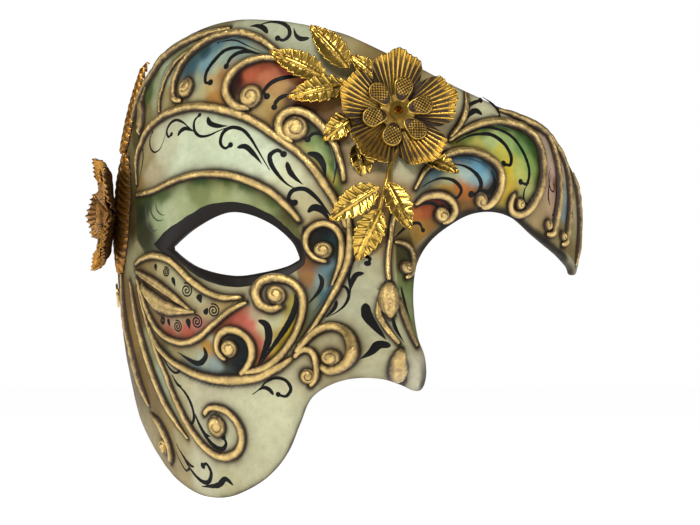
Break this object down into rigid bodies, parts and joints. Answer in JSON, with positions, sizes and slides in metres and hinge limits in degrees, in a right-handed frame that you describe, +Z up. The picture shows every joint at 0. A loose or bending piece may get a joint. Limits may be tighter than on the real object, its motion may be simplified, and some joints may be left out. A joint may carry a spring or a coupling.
{
  "type": "venetian masquerade mask",
  "caption": "Rigid half-face masquerade mask covering one cheek, with gilded scroll relief, painted panels, brass flowers and leaves, and ribbon eyelets.",
  "frame": {"origin": "inner face of the shell on the bridge of the nose, level with the eye opening", "axes": "+X towards the wearer's left, +Y back into the wearer's head, +Z up"},
  "size_m": [0.1791, 0.1066, 0.1611],
  "materials": {
    "painted_shell": "satin painted and varnished pasted paper",
    "gilded_gesso": "gold leaf over gesso with a brown patina",
    "bright_brass": "stamped sheet, bright with dark hollows",
    "antique_brass": "stamped sheet, dark antique",
    "eyelet_brass": "rolled eyelet, satin"
  },
  "bodies": {
    "root": {"mask_shell": "painted_shell", "top_edge_rim": "gilded_gesso", "forehead_arch": "gilded_gesso", "lid_line": "gilded_gesso", "forehead_scroll_outer": "gilded_gesso", "forehead_scroll_middle": "gilded_gesso", "forehead_scroll_inner": "gilded_gesso", "temple_panel_strand": "gilded_gesso", "temple_drop": "gilded_gesso", "eye_corner_scroll": "gilded_gesso", "nose_side_border": "gilded_gesso", "under_eye_scroll": "gilded_gesso", "under_eye_wave": "gilded_gesso", "cheek_panel_border": "gilded_gesso", "cheek_leaf_core": "gilded_gesso", "cheek_scroll": "gilded_gesso", "cheek_lower_border": "gilded_gesso", "nose_curl_large": "gilded_gesso", "nose_curl_small": "gilded_gesso", "nose_ridge_line": "gilded_gesso", "nose_drop": "gilded_gesso", "nose_tip_lobe": "gilded_gesso", "bridge_scroll": "gilded_gesso", "brow_scroll_red": "gilded_gesso", "brow_scroll_blue": "gilded_gesso", "brow_scroll_green": "gilded_gesso", "wing_top_rim": "gilded_gesso", "wing_stripe_front": "gilded_gesso", "wing_stripe_middle": "gilded_gesso", "wing_stripe_back": "gilded_gesso", "jaw_ribbon_back": "gilded_gesso", "jaw_ribbon_middle": "gilded_gesso", "jaw_ribbon_front": "gilded_gesso", "jaw_scroll": "gilded_gesso", "forehead_flower_petals": "bright_brass", "forehead_flower_stamens": "bright_brass", "forehead_flower_rivet": "bright_brass", "forehead_spray": "bright_brass", "forehead_leaf_right": "bright_brass", "forehead_leaf_small": "bright_brass", "flower_tip_leaf": "bright_brass", "bridge_bud_leaf": "bright_brass", "bridge_spray": "bright_brass", "temple_flower_petals": "antique_brass", "temple_flower_stamens": "antique_brass", "temple_flower_rivet": "antique_brass", "temple_rosette": "antique_brass", "temple_feather_leaf": "antique_brass", "ribbon_eyelet_right": "eyelet_brass", "ribbon_eyelet_left": "eyelet_brass"}
  },
  "joints": []
}
